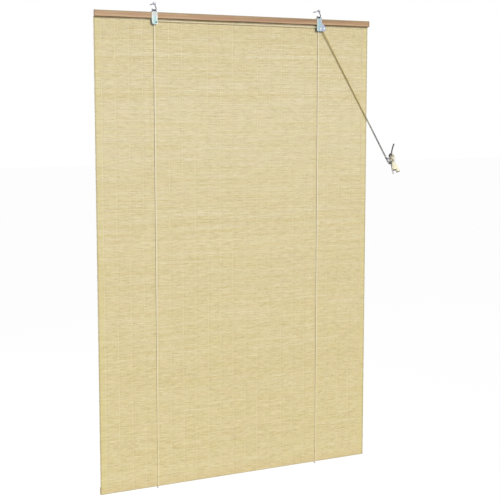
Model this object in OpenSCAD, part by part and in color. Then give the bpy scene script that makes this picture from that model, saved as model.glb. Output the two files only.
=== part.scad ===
// Roll-up blind of split bamboo reeds.
// The mat hangs from a wooden head rail between two folded steel brackets, each on a wire hook.
// Two cords run down the back, under the bottom batten and up the front to pulleys in the brackets.
// Both cords leave through the cord lock on the right and are made fast on a wall cleat.
// Frame: origin on the wall, midway between the two hook screws. +X to the right, -Y into the room.

/* [Mat] */
// Width of the reed mat
mat_w = 1000; // [800:10:1400]
// Drop from the top of the head rail to the bottom edge of the mat
drop_h = 1600; // [1200:10:2000]
// Thickness of the mat over its reeds
mat_t = 3; // [2.6:0.2:5]
// Height of one reed
reed_pitch = 6; // [5:0.5:10]
// Depth of the groove between two reeds
reed_groove = 0.9; // [0.4:0.1:1.2]
// Reeds woven tight between two open gaps
reeds_per_gap = 5; // [4:1:12]
// Height of an open gap
gap_h = 0.9; // [0.5:0.1:1.6]
// Side margin that holds the reeds together beyond the open gaps
selvage_w = 22; // [12:1:60]

/* [Head rail] */
// Height of the wooden head rail
rail_h = 20.5; // [20:0.5:24]
// Thickness of the head rail, front to back
rail_t = 11.5; // [11:0.1:14]
// Bevel along the long edges of the head rail
rail_bevel = 1.4; // [0.5:0.1:2.5]

/* [Bottom batten] */
// Height of the batten behind the bottom edge
batten_h = 25; // [18:1:40]
// Thickness of the batten
batten_t = 5.5; // [4:0.5:5.5]
// Radius along the long edges of the batten
batten_round = 1.2; // [0.4:0.1:1.8]

/* [Brackets] */
// Distance between the two brackets, and between the two hook screws
bracket_spread = 600; // [400:10:700]
// Width of a bracket plate
plate_w = 20; // [18:1:22]
// Sheet thickness of the brackets
plate_t = 1.2; // [0.8:0.1:1.6]
// Drop of the left bracket below the top of the rail
plate_drop = 40; // [40:1:52]
// Straight rise of the strap above the rail, before it arches over
arch_rise = 3; // [2:0.5:6]
// Width of the two legs that carry the arch, beside its open window
bail_w = 2.5; // [2.2:0.1:2.8]
// Width of the strap at the top of its arch
arch_w = 5; // [4:0.5:6]
// Depth of the pressed channel on the front plate
channel_d = 0.4; // [0.2:0.1:0.6]
// Width of the pressed channel
channel_w = 7; // [4:0.5:9]

/* [Pulleys] */
// Radius at which the cord centre runs on a pulley
seat_r = 5; // [4.5:0.1:5.5]
// Radius of a pulley flange
flange_r = 6.4; // [6:0.1:7]
// Height of the pulley centres below the top of the rail
pulley_drop = 33; // [32:0.5:35]
// Radius of a pulley axle
axle_r = 1.5; // [1:0.1:2]
// Radial running clearance of pulleys and cam
run_gap = 0.05; // [0.03:0.01:0.08]
// Side clearance of pulleys and cam
side_gap = 0.4; // [0.3:0.05:0.5]
// Radius of a rivet head
rivet_r = 2.8; // [2.4:0.1:3.2]
// Height of a rivet head
rivet_h = 0.9; // [0.6:0.1:1.4]

/* [Cord lock] */
// Drop of the cord lock bracket below the top of the rail
lock_drop = 42; // [41:1:52]
// Reach of the cord lock to the right of its centre
lock_reach = 24.5; // [24:0.5:30]
// Height below the rail top at which the lock starts to widen
lock_shoulder = 14; // [10:1:16]
// Height below the rail top at which it is at its widest
lock_hip = 27; // [25:1:29]
// Radius of the lower corners of the cord lock
lock_corner = 6; // [3:0.5:7]
// Pivot of the cam to the right of the bracket centre
cam_x = 18.5; // [18.5:0.5:20]
// Pivot of the cam below the top of the rail
cam_drop = 32; // [31:0.5:33]
// Radius of the cam's hub
cam_hub_r = 4.2; // [3.4:0.1:4.4]
// Radius of the cam at its highest tooth
cam_r = 6.4; // [5.6:0.1:6.6]
// Depth of a cam tooth
cam_tooth = 0.6; // [0.3:0.1:0.9]
// Teeth on the cam
cam_teeth = 8; // [5:1:12]

/* [Hooks] */
// Distance from the wall to the plane of the hooks
wall_gap = 20; // [18:1:30]
// Height of the hook screws above the top of the rail
hook_rise = 28; // [28:0.5:34]
// Diameter of the hook wire
hook_wire = 3; // [2.4:0.1:3.4]
// Radius of the hook's bow, at the wire centre
bow_r = 7; // [7:0.1:8]
// Radius of the reverse bend between bow and stem
bend_r = 3; // [2:0.1:3.5]
// Radius of a hook screw
screw_r = 2; // [1.6:0.1:2.2]
// Length of a hook screw inside the wall
screw_bite = 27; // [20:1:40]
// Radius of a hook screw's head
screw_head_r = 4.4; // [4.2:0.1:5.5]
// Height of a hook screw's head
screw_head_h = 2.4; // [1.6:0.1:3.5]

/* [Cleat] */
// Distance of the cleat to the right of the blind's middle
cleat_x = 603; // [520:1:800]
// Height of the cleat below the top of the rail
cleat_drop = 494; // [400:1:900]
// Span of the cleat from horn tip to horn tip
horn_span = 106; // [90:1:120]
// Lean of the horn tips away from the wall
horn_lean = 17; // [10:1:24]
// Radius of the cleat's rod
rod_r = 2.6; // [2:0.1:3]
// Radius of the ball at each horn's tip
ball_r = 3.2; // [3.1:0.1:4]
// Distance from the wall to the middle of the rod
rod_out = 17; // [15:1:24]
// Radius of the cleat's stem
stem_r = 4; // [3.4:0.1:4.6]
// Radius of the cleat's screw
stud_r = 2.2; // [1.6:0.1:3]
// Length of the cleat's screw inside the wall
stud_bite = 25; // [18:1:40]

/* [Cords] */
// Diameter of the cords
cord_d = 2.4; // [2:0.1:2.6]

/* [Tassels] */
// Diameter of a tassel at its mouth
tassel_d = 15; // [13:0.5:16]
// Length of a tassel
tassel_h = 31; // [28:1:34]
// Wall of a tassel at its mouth
tassel_wall = 1.6; // [1.2:0.1:2.4]

/* [Staples] */
// Length of a staple's crown
staple_w = 10; // [8:1:14]
// Diameter of the staple wire
staple_wire = 1; // [0.6:0.1:1.2]
// Depth of a staple's legs in the wood
staple_bite = 6; // [4:0.5:9]

/* [Hidden] */
$fn = 48;

// Overrun of every cut past the face that it leaves through
over = 1;
// Small clearance of pieces that are seated but not fitted
seat_gap = 0.3;

// Heights
rail_top = -hook_rise;
mat_bottom = rail_top - drop_h;
// Step of the mat's top edge below the top of the rail, at least
mat_setback = 2;
reed_count = floor((drop_h - mat_setback) / reed_pitch);
mat_top = mat_bottom + reed_count * reed_pitch;

// Depths: the strap's legs clasp the rail, and the rear leg lies in a rebate
rebate_d = plate_t + seat_gap;
leg_gap = rail_t - rebate_d;
leg_r = leg_gap / 2;
plate_r = leg_r + plate_t;
rail_front = -wall_gap - leg_r;
mat_front = rail_front + rail_t;
mat_back = mat_front + mat_t;
arch_top = arch_rise + plate_r;
// Underside of the arch, and half of the strap's width there
arch_under = arch_rise + leg_r;
arch_half = plate_half(arch_under);
// Window under the arch: its sill above the rail, and its head
window_sill = 1.4;
window_head = arch_rise + leg_r - bail_w + window_sill / 2;

// Shares of a reed's height at which its crown starts and ends
crown_shares = [0.26, 0.74];

// Shares of the mat's width at which staples hold it to the rail
staple_shares = [-0.47, -0.36, -0.2, -0.1, 0, 0.1, 0.2, 0.36, 0.47];
// Reeds from the top of the mat down to the one that the staples go through, to its middle
staple_reeds = 2.5;

// Facets of a round corner on a bracket's outline
corner_steps = 10;
// Pressed channel of a bracket: clear of the arch and of the rounded end
channel_top = channel_w;
channel_end = plate_drop - plate_w / 2;

// Pulley widths: the left one fills the bracket, the right two share it
wide_pulley_w = leg_gap - 2 * side_gap;
slim_pulley_w = (leg_gap - 3 * side_gap) / 2;
pulley_x = seat_r;
// Groove of a pulley: clear of the cord at its root and along its sides
groove_root_r = seat_r - cord_d / 2 - seat_gap;
groove_root_w = cord_d;
groove_mouth_w = cord_d + 3 * seat_gap;
// Chamfer on a pulley's rim
rim_chamfer = 0.25;

// Cam: the toothed sector faces the cords, from its low end to its high end
cam_low_angle = 140;
cam_high_angle = 250;
cam_steps = 2 * cam_teeth;
cam_t = leg_gap - 2 * side_gap;

// Hook: the bow, a reverse bend, a stem and an eye whose screw is right above the bow
wire_r = hook_wire / 2;
// Clearance between the hook's wire and the arch that hangs on it
hook_seat = 0.1;
bow_in_r = bow_r - wire_r;
bow_z = rail_top + arch_under + sqrt(bow_in_r * bow_in_r - arch_half * arch_half) - hook_seat;
bow_tip_angle = 185;
// Step from the bow down to the thinner wire of bend, stem and eye
neck_step = 0.05;
neck_r = wire_r - neck_step;
// Angle by which the bend is sunk into the bow's end
neck_sink_angle = 4;
// Clearance of the screw in the hook's eye
eye_gap = 0.1;
eye_r = screw_r + eye_gap + neck_r;
eye_end_angle = 262;
bend_angle = acos((eye_r + bend_r) / (bow_r + bend_r));
bend_z = bow_z + (bow_r + bend_r) * sin(bend_angle);
// Step from the thread of a hook screw down to its plain shank
shank_step = 0.2;
// Length of a screw's point, as a share of its bite
point_share = 0.2;

// Cleat: the rod is an arc through both tips
horn_half = horn_span / 2;
horn_r = (horn_half * horn_half + horn_lean * horn_lean) / (2 * horn_lean);
horn_angle = asin(horn_half / horn_r);

// Tassel: neck and shoulder as shares of its length and mouth
neck_share = 0.46;
shoulder_shares = [0.12, 0.62];
waist_shares = [0.55, 0.8];
cup_share = 0.3;
bore_gap = 0.15;
tassel_bore_r = cord_d / 2 + bore_gap;
knot_r = cord_d;

// Cord routes, in millimetres in the part's frame
cord_sides = 8;
left_back_route = [
    [-316, -9, -36], [-316, -9, -54], [-300, -9, -1584], [-300, -3, -1594], [-300, -3, -1599.6]
];
right_back_route = [
    [284, -9, -36], [284, -9, -54], [300, -9, -1584], [300, -3, -1594], [300, -3, -1599.6]
];
left_loop_route = [
    [-300, -3, -1600], [-300, -3, -1628], [-300, -3.8, -1631], [-300, -6, -1633.2],
    [-300, -9.1, -1634.1], [-300, -12.2, -1633.2], [-300, -14.4, -1631],
    [-300, -15.2, -1628], [-300, -15.2, -1600]
];
right_loop_route = [
    [300, -3, -1600], [300, -3, -1628], [300, -3.8, -1631], [300, -6, -1633.2],
    [300, -9.1, -1634.1], [300, -12.2, -1633.2], [300, -14.4, -1631],
    [300, -15.2, -1628], [300, -15.2, -1600]
];
left_front_route = [[-300, -15.2, -1599.6], [-300, -20, -73]];
right_front_route = [[300, -15.2, -1599.6], [300, -17.6, -73]];
left_pull_route = [
    [-300, -20, -73], [-300, -20, -61], [-299.3, -20, -58.5], [-297.5, -20, -56.7],
    [-295, -20, -56], [-284, -20, -56], [296, -22.4, -56], [305, -22.4, -56],
    [307.5, -22.4, -56.7], [309.3, -22.4, -58.4], [592.6, -16.4, -533.4],
    [596.2, -14.9, -535.6], [600, -13.8, -537.4], [604.3, -13.6, -538.5],
    [608.2, -15.1, -537.5], [609.8, -17.5, -534.3], [608.7, -19.5, -530.6],
    [605.9, -21.3, -527.8], [602.4, -21.9, -525.2], [599.4, -20.8, -522.1],
    [597.6, -19.8, -518.2], [596.7, -18.5, -514.1], [596.4, -16.6, -510.1],
    [597.3, -13.7, -506.9], [600.4, -11.4, -504.8], [604.7, -11.1, -504.8],
    [608, -12.9, -506.8], [609.3, -15.6, -510], [608.6, -18.3, -513.4], [606.7, -20.5, -516.7],
    [603.8, -22, -519.7], [600.4, -23.2, -522.4], [597.2, -22.9, -525.3],
    [594.9, -20.6, -528.2], [594.4, -17.1, -530.8], [595.9, -13.7, -533.1],
    [599.2, -11.4, -534.7], [603.5, -10.7, -535.2], [607.7, -11.9, -534.3],
    [610.7, -14.5, -532.5], [612.1, -18, -530.2], [611.6, -21.7, -527.9],
    [609.2, -24.5, -525.5], [605.6, -25.3, -523.2], [602, -24.9, -520.7],
    [598.3, -23.8, -518.6], [595.3, -21.2, -516.5], [594.2, -17.6, -514.3],
    [595.3, -13.9, -512.3], [598.1, -11, -510.6], [602.1, -9.3, -509.7], [606.5, -9.5, -509.7],
    [610, -11.9, -510.4], [611.6, -15.8, -511.6], [610.6, -20, -512.5], [608.7, -24, -513.4],
    [606.8, -27.6, -514.9], [604.9, -30.5, -517.6], [603.3, -31.6, -521.5],
    [602.3, -30.5, -525.7], [602.4, -28.9, -529.8], [602.7, -29, -534], [604, -37.1, -554.1]
];
right_pull_route = [
    [300, -17.6, -73], [300, -17.6, -61], [300.7, -17.6, -58.5], [302.5, -17.6, -56.7],
    [305, -17.6, -56], [307.5, -17.6, -56.7], [309.3, -17.6, -58.4], [590.6, -14.4, -535.2],
    [593.3, -13.6, -538.6], [596.7, -13.1, -541.2], [601, -13.3, -542], [605.1, -14.5, -541.3],
    [608.1, -16.8, -539.2], [609.7, -19.4, -536], [609.8, -21.4, -532.2], [608.7, -22.4, -528],
    [607.2, -22.8, -524], [605.2, -23.9, -520.2], [602.1, -24.3, -517.1],
    [598.9, -23.3, -514.4], [596.4, -21.3, -511.4], [595.4, -18.5, -508.2],
    [596.7, -15.6, -505.3], [600.1, -13.6, -503.5], [604.4, -13.2, -503.4],
    [608.3, -14.6, -504.7], [611, -17.1, -507], [612.3, -20.2, -509.8], [611.8, -23.2, -512.9],
    [609.6, -25.4, -516], [606.6, -26.8, -518.9], [603.5, -27.2, -521.9], [600.5, -26.4, -525],
    [598.1, -24.7, -528.2], [596.2, -22.4, -531.4], [595.4, -19.6, -534.7],
    [596, -16.4, -537.6], [598.5, -13.2, -539.2], [602.3, -11.3, -539.2], [606.5, -11.4, -538],
    [609.9, -13.3, -536.1], [612.1, -16.4, -533.9], [612.4, -20.2, -531.7],
    [611.3, -23.7, -529.5], [609.1, -26.7, -527], [606.3, -28.7, -524.4],
    [603.1, -29.4, -521.5], [600, -28.1, -518.7], [597.3, -25.6, -516.4],
    [595.3, -22.4, -514.2], [594.1, -18.7, -512.2], [594.4, -14.8, -510.2],
    [596.7, -11.6, -508.4], [600.4, -9.6, -507.3], [604.7, -9.2, -507], [608.8, -10.6, -507.4],
    [611.9, -13.4, -508.5], [613.8, -17, -510.3], [614.5, -20.5, -512.8],
    [614.6, -23.3, -516.1], [614.5, -25.3, -520], [614.2, -26.4, -524.2],
    [613.9, -26.6, -528.6], [613.6, -26.3, -533], [613.6, -25.8, -537.3],
    [614.2, -26.8, -541.5], [618.9, -34.6, -561.2]
];

function unit(v) = v / norm(v);
function heading(route, i) = unit(route[min(i + 1, len(route) - 1)] - route[max(i - 1, 0)]);
function cord_ring(route, i, side) =
    let (t = heading(route, i), u = unit(cross(t, side)), v = cross(u, t))
    [for (k = [0 : cord_sides - 1])
        let (a = 360 * k / cord_sides) route[i] + cord_d / 2 * (cos(a) * u + sin(a) * v)];

// One cord, swept along its route. side is a direction that the route never runs along.
module cord_tube(route, side) {
    n = len(route);
    last = (n - 1) * cord_sides;
    walls = [for (i = [0 : n - 2], k = [0 : cord_sides - 1])
        let (a = i * cord_sides + k, b = i * cord_sides + (k + 1) % cord_sides)
        each [[a, b, b + cord_sides], [a, b + cord_sides, a + cord_sides]]];
    start_cap = [for (k = [cord_sides - 1 : -1 : 0]) k];
    end_cap = [for (k = [0 : cord_sides - 1]) last + k];
    color("wheat")
    polyhedron(
        points = [for (i = [0 : n - 1]) each cord_ring(route, i, side)],
        faces = concat([start_cap], walls, [end_cap])
    );
}

// Extrudes a section drawn in Y and Z along X, about the middle.
module along_x(length) {
    rotate([90, 0, 90])
    linear_extrude(length, center = true)
    children();
}

// Extrudes an outline drawn in X and Z along Y, about the middle.
module along_y(length) {
    rotate([90, 0, 0])
    linear_extrude(length, center = true)
    children();
}

// Turns a shape built up along Z so that it points at the wall.
module to_wall() {
    rotate([-90, 0, 0])
    children();
}

// An arc of round bar in the XZ plane.
module bar_arc(mid_r, bar_r, from, to) {
    rotate([90, 0, 0])
    rotate([0, 0, from])
    rotate_extrude(angle = to - from)
    translate([mid_r, 0])
    circle(r = bar_r);
}

// Head rail: a bevelled lath with a rebate behind each bracket.
module rail_section() {
    b = rail_bevel;
    polygon([
        [b, 0], [rail_t - b, 0], [rail_t, -b], [rail_t, b - rail_h],
        [rail_t - b, -rail_h], [b, -rail_h], [0, b - rail_h], [0, -b]
    ]);
}

module rebate(left, right) {
    translate([left, mat_front - rebate_d, rail_top - rail_h - over])
    cube([right - left, rebate_d + over, rail_h + 2 * over]);
}

module head_rail() {
    side = plate_w / 2 + seat_gap;
    color("tan")
    difference() {
        translate([0, rail_front, rail_top])
        along_x(mat_w)
        rail_section();
        rebate(-bracket_spread / 2 - side, -bracket_spread / 2 + side);
        rebate(bracket_spread / 2 - side, bracket_spread / 2 + lock_reach + seat_gap);
    }
}

// Reed mat: one wall with a ridge for each reed, pierced by long gaps between the selvages.
function reed_side(depth) = [
    for (i = [0 : reed_count - 1])
        let (z = i * reed_pitch, inner = depth - sign(depth) * reed_groove)
        each [
            [inner, z],
            [depth, z + crown_shares[0] * reed_pitch],
            [depth, z + crown_shares[1] * reed_pitch]
        ]
];
function reversed(list) = [for (i = [len(list) - 1 : -1 : 0]) list[i]];

module mat_section() {
    half = mat_t / 2;
    top = mat_top - mat_bottom;
    polygon(concat(
        reed_side(-half),
        [[reed_groove - half, top], [half - reed_groove, top]],
        reversed(reed_side(half))
    ));
}

module reed_mat() {
    gap_w = mat_w - 2 * selvage_w;
    color("khaki")
    translate([0, mat_front + mat_t / 2, mat_bottom])
    difference() {
        along_x(mat_w)
        mat_section();
        for (i = [reeds_per_gap : reeds_per_gap : reed_count - 1])
            translate([-gap_w / 2, -mat_t, i * reed_pitch - gap_h / 2])
            cube([gap_w, 2 * mat_t, gap_h]);
    }
}

// A wire staple driven towards the room, with its crown at y = 0 and legs of the given length.
module staple(crown_w, leg) {
    r = staple_wire / 2;
    rotate([0, 90, 0])
    cylinder(r = r, h = crown_w, center = true);
    for (s = [-1, 1])
        translate([s * (crown_w / 2 - r), 0, 0])
        rotate([90, 0, 0])
        cylinder(r = r, h = leg);
}

module mat_staples() {
    color("silver")
    for (share = staple_shares)
        translate([share * mat_w, mat_back + staple_wire / 2, mat_top - staple_reeds * reed_pitch])
        staple(staple_w, mat_t + staple_bite);
}

// Bottom batten: a lath with rounded edges, woven in behind the last reeds.
module batten_section() {
    r = batten_round;
    for (y = [r, batten_t - r], z = [r, batten_h - r])
        translate([y, z])
        circle(r = r);
    translate([r, 0])
    square([batten_t - 2 * r, batten_h]);
    translate([0, r])
    square([batten_t, batten_h - 2 * r]);
}

module bottom_batten() {
    color("burlywood")
    translate([0, mat_back + seat_gap, mat_bottom])
    along_x(mat_w)
    batten_section();
}

// Bracket: a strap folded over the rail, cut to its outline. Both legs end as cheeks for the pulleys.
module strap_section(drop) {
    difference() {
        union() {
            translate([-plate_r, -drop])
            square([2 * plate_r, drop + arch_rise]);
            translate([0, arch_rise])
            circle(r = plate_r);
        }
        translate([-leg_r, -drop - over])
        square([leg_gap, drop + over + arch_rise]);
        translate([0, arch_rise])
        circle(r = leg_r);
    }
}

// Points along a round corner of an outline.
function corner(x, z, r, from, to) =
    [for (i = [0 : corner_steps])
        let (a = from + i * (to - from) / corner_steps) [x + r * cos(a), z + r * sin(a)]];
function gable() = [[arch_w / 2, arch_top + over], [-arch_w / 2, arch_top + over]];
// Half of the gable's width at a height above the rail
function plate_half(z) = plate_w / 2 - (plate_w - arch_w) / 2 * z / (arch_top + over);

module bail_window() {
    foot = plate_half(window_sill) - bail_w;
    head = plate_half(window_head) - bail_w;
    along_y(2 * plate_r + 2 * over)
    polygon([[-foot, window_sill], [foot, window_sill], [head, window_head], [-head, window_head]]);
}

module round_plate() {
    r = plate_w / 2;
    polygon(concat(gable(), [[-r, 0]], corner(0, r - plate_drop, r, 180, 360), [[r, 0]]));
}

module lock_plate() {
    r = plate_w / 2;
    c = lock_corner;
    polygon(concat(
        gable(),
        [[-r, 0]],
        corner(c - r, c - lock_drop, c, 180, 270),
        corner(lock_reach - c, c - lock_drop, c, 270, 360),
        [[lock_reach, -lock_hip], [r, -lock_shoulder], [r, 0]]
    ));
}

module channel() {
    w = channel_w / 2;
    translate([-w, -channel_end])
    square([channel_w, channel_end - channel_top]);
    for (z = [-channel_end, -channel_top])
        translate([0, z])
        circle(r = w);
}

module cheek_hole(x, drop) {
    translate([x, 0, -drop])
    to_wall()
    cylinder(r = axle_r, h = 2 * plate_r + 2 * over, center = true);
}

module strap(drop) {
    intersection() {
        along_x(2 * lock_reach + plate_w)
        strap_section(drop);
        along_y(2 * plate_r + 2 * over)
        children();
    }
}

module pressed_channel() {
    translate([0, -plate_r, 0])
    along_y(2 * channel_d)
    channel();
}

module left_bracket() {
    color("lightsteelblue")
    translate([-bracket_spread / 2, -wall_gap, rail_top])
    difference() {
        strap(plate_drop)
        round_plate();
        pressed_channel();
        bail_window();
        cheek_hole(pulley_x, pulley_drop);
    }
}

module right_bracket() {
    color("lightsteelblue")
    translate([bracket_spread / 2, -wall_gap, rail_top])
    difference() {
        strap(lock_drop)
        lock_plate();
        pressed_channel();
        bail_window();
        cheek_hole(pulley_x, pulley_drop);
        cheek_hole(cam_x, cam_drop);
    }
}

// Pulley: a grooved wheel turned about Y, centred on y = 0.
module pulley(width) {
    w = width / 2;
    c = rim_chamfer;
    color("gainsboro")
    to_wall()
    rotate_extrude()
    polygon([
        [axle_r + run_gap, -w], [flange_r - c, -w], [flange_r, c - w], [flange_r, -groove_mouth_w / 2],
        [groove_root_r, -groove_root_w / 2], [groove_root_r, groove_root_w / 2],
        [flange_r, groove_mouth_w / 2], [flange_r, w - c], [flange_r - c, w], [axle_r + run_gap, w]
    ]);
}

module at_pulley(side, y) {
    translate([side * bracket_spread / 2 + pulley_x, y - wall_gap, rail_top - pulley_drop])
    children();
}

module left_pulley() {
    at_pulley(-1, 0)
    pulley(wide_pulley_w);
}

module cross_pulley() {
    at_pulley(1, side_gap + slim_pulley_w / 2 - leg_r)
    pulley(slim_pulley_w);
}

module lift_pulley() {
    at_pulley(1, leg_r - side_gap - slim_pulley_w / 2)
    pulley(slim_pulley_w);
}

// Rivet: domed head on the front plate, tail flush with the rear plate.
module rivet() {
    h = rivet_h;
    color("silver")
    to_wall()
    rotate_extrude()
    polygon([
        [0, -plate_r - h], [rivet_r - h, -plate_r - h], [rivet_r, -plate_r - h / 2],
        [rivet_r, -plate_r], [axle_r, -plate_r], [axle_r, plate_r], [0, plate_r]
    ]);
}

module left_axle() {
    at_pulley(-1, 0)
    rivet();
}

module right_axle() {
    at_pulley(1, 0)
    rivet();
}

// Cam: an eccentric toothed sector on a round hub, which grips both cords.
function cam_point(i) =
    let (share = i / cam_steps, r = cam_hub_r + share * (cam_r - cam_hub_r) - (i % 2) * cam_tooth * share)
    let (a = cam_low_angle + share * (cam_high_angle - cam_low_angle))
    [r * cos(a), r * sin(a)];

module cam_outline() {
    difference() {
        union() {
            circle(r = cam_hub_r);
            polygon(concat([[0, 0]], [for (i = [0 : cam_steps]) cam_point(i)]));
        }
        circle(r = axle_r + run_gap);
    }
}

module at_cam() {
    translate([bracket_spread / 2 + cam_x, -wall_gap, rail_top - cam_drop])
    children();
}

module lock_cam() {
    color("gray")
    at_cam()
    along_y(cam_t)
    cam_outline();
}

module cam_pin() {
    at_cam()
    rivet();
}

// Hook: one bent wire, with a bow that carries the bracket's arch, a stem and an eye for the screw.
module hook(x) {
    color("slategray")
    translate([x, -wall_gap, 0]) {
        translate([0, 0, bow_z])
        bar_arc(bow_r, wire_r, bow_tip_angle, 360 + bend_angle);
        translate([eye_r + bend_r, 0, bend_z])
        bar_arc(bend_r, neck_r, 180, 180 + bend_angle + neck_sink_angle);
        translate([eye_r, 0, bend_z])
        cylinder(r = neck_r, h = -bend_z);
        bar_arc(eye_r, neck_r, 0, eye_end_angle);
    }
}

module left_hook() {
    hook(-bracket_spread / 2);
}

module right_hook() {
    hook(bracket_spread / 2);
}

// Hook screw: a round head in front of the eye, a plain shank and a pointed thread into the wall.
module hook_screw(x) {
    seat = -wall_gap - wire_r;
    crown = seat - screw_head_h;
    point = screw_bite * (1 - point_share);
    shank_r = screw_r - shank_step;
    color("lightgray")
    translate([x, 0, 0])
    to_wall()
    rotate_extrude()
    polygon([
        [0, crown], [screw_head_r - screw_head_h, crown], [screw_head_r, seat - screw_head_h / 2],
        [screw_head_r, seat], [shank_r, seat], [shank_r, -over], [screw_r, -over],
        [screw_r, point], [0, screw_bite]
    ]);
}

module left_hook_screw() {
    hook_screw(-bracket_spread / 2);
}

module right_hook_screw() {
    hook_screw(bracket_spread / 2);
}

// Cleat: a bowed rod with ball ends on a stem that runs out into a wood screw.
module cleat_rod() {
    translate([0, -horn_r, 0])
    rotate([0, 90, 0])
    rotate([0, 0, 90 - horn_angle])
    rotate_extrude(angle = 2 * horn_angle)
    translate([horn_r, 0])
    circle(r = rod_r);
    for (s = [-1, 1])
        translate([0, -horn_lean, s * horn_half])
        sphere(r = ball_r);
}

module cleat_stem() {
    point = rod_out + stud_bite * (1 - point_share);
    to_wall()
    rotate_extrude()
    polygon([
        [0, 0], [stem_r, 0], [stem_r, rod_out], [stud_r, rod_out], [stud_r, point], [0, rod_out + stud_bite]
    ]);
}

module cleat() {
    color("dimgray")
    translate([cleat_x, -rod_out, rail_top - cleat_drop]) {
        cleat_rod();
        cleat_stem();
    }
}

// Lift cords: back runs, loops under the bottom edge and front runs.
module left_back_cord() {
    cord_tube(left_back_route, [1, 0, 0]);
}

module right_back_cord() {
    cord_tube(right_back_route, [1, 0, 0]);
}

module left_bottom_loop() {
    cord_tube(left_loop_route, [1, 0, 0]);
}

module right_bottom_loop() {
    cord_tube(right_loop_route, [1, 0, 0]);
}

module left_front_cord() {
    cord_tube(left_front_route, [1, 0, 0]);
}

module right_front_cord() {
    cord_tube(right_front_route, [1, 0, 0]);
}

// Pull cords: over the pulleys, through the cord lock, round the cleat and into the tassels.
module left_pull_cord() {
    cord_tube(left_pull_route, [0.2, 1, 0.1]);
}

module right_pull_cord() {
    cord_tube(right_pull_route, [0.2, 1, 0.1]);
}

// The back runs end in knots, each held to the rail by a staple over the cord.
module cord_staples() {
    color("silver")
    for (route = [left_back_route, right_back_route])
        translate([route[0][0], mat_back + cord_d + staple_wire, route[0][2] - 2 * cord_d])
        staple(staple_w, mat_t + cord_d + staple_bite);
}

module back_knots() {
    color("wheat")
    for (route = [left_back_route, right_back_route])
        translate([route[0][0], mat_back + knot_r, route[0][2] + knot_r / 2])
        sphere(r = knot_r);
}

// Turns a piece built along Z into line with the last stretch of a cord, at that cord's end.
module at_cord_end(route) {
    last = len(route) - 1;
    up = unit(route[last - 1] - route[last]);
    translate(route[last])
    rotate([0, acos(up[2]), atan2(up[1], up[0])])
    children();
}

// Tassel: a turned bell, hung by its bore, with a cup for the knot.
module tassel(route) {
    mouth = tassel_d / 2;
    cup = cup_share * tassel_h;
    inner = mouth - tassel_wall;
    color("cornsilk")
    at_cord_end(route)
    translate([0, 0, -cup])
    rotate_extrude()
    polygon([
        [tassel_bore_r, tassel_h], [neck_share * mouth, tassel_h],
        [shoulder_shares[1] * mouth, (1 - shoulder_shares[0]) * tassel_h],
        [waist_shares[1] * mouth, waist_shares[0] * tassel_h],
        [mouth, cup], [mouth, 0], [inner, 0], [inner, cup / 2], [tassel_bore_r, cup]
    ]);
}

module left_tassel() {
    tassel(left_pull_route);
}

module right_tassel() {
    tassel(right_pull_route);
}

module tassel_knots() {
    color("wheat")
    for (route = [left_pull_route, right_pull_route])
        at_cord_end(route)
        translate([0, 0, -knot_r])
        sphere(r = knot_r);
}

head_rail();
reed_mat();
mat_staples();
bottom_batten();
left_bracket();
right_bracket();
left_pulley();
cross_pulley();
lift_pulley();
left_axle();
right_axle();
lock_cam();
cam_pin();
left_hook();
right_hook();
left_hook_screw();
right_hook_screw();
cleat();
left_front_cord();
right_front_cord();
left_back_cord();
right_back_cord();
left_bottom_loop();
right_bottom_loop();
left_pull_cord();
right_pull_cord();
cord_staples();
back_knots();
left_tassel();
right_tassel();
tassel_knots();
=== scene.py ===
"""Looks of the bamboo roll-up blind, built round its CAD frame."""

import math

import bpy
import numpy as np
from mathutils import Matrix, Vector


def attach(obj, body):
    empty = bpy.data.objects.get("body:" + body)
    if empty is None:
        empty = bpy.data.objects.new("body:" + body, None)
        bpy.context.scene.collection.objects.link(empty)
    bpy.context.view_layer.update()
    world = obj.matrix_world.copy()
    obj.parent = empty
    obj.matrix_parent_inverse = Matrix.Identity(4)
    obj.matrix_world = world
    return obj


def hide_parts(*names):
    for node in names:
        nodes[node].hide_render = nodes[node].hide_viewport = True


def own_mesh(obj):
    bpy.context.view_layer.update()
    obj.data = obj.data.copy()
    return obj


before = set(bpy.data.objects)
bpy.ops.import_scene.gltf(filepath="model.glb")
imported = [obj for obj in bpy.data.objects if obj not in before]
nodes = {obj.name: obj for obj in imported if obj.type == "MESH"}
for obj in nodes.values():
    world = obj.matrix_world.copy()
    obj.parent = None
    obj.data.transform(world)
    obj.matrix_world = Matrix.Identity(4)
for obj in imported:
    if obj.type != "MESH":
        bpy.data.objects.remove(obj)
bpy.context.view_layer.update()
rng = np.random.default_rng(11)
MM = 0.001

# Sizes in metres, as in the CAD source

MAT_W = 1.0
MAT_SIDE = MAT_W / 2
MAT_TOP = -0.032
MAT_BOTTOM = -1.628
MAT_FRONT = -0.0135
MAT_BACK = -0.0105
RAIL_TOP = -0.028
DROP_TOP = -0.073
CORD_R = 1.2 * MM
HOOK_X = 0.3
CLEAT_X = 0.603
CLEAT_Z = -0.522

# Cord routes in millimetres, as in the CAD source

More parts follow.
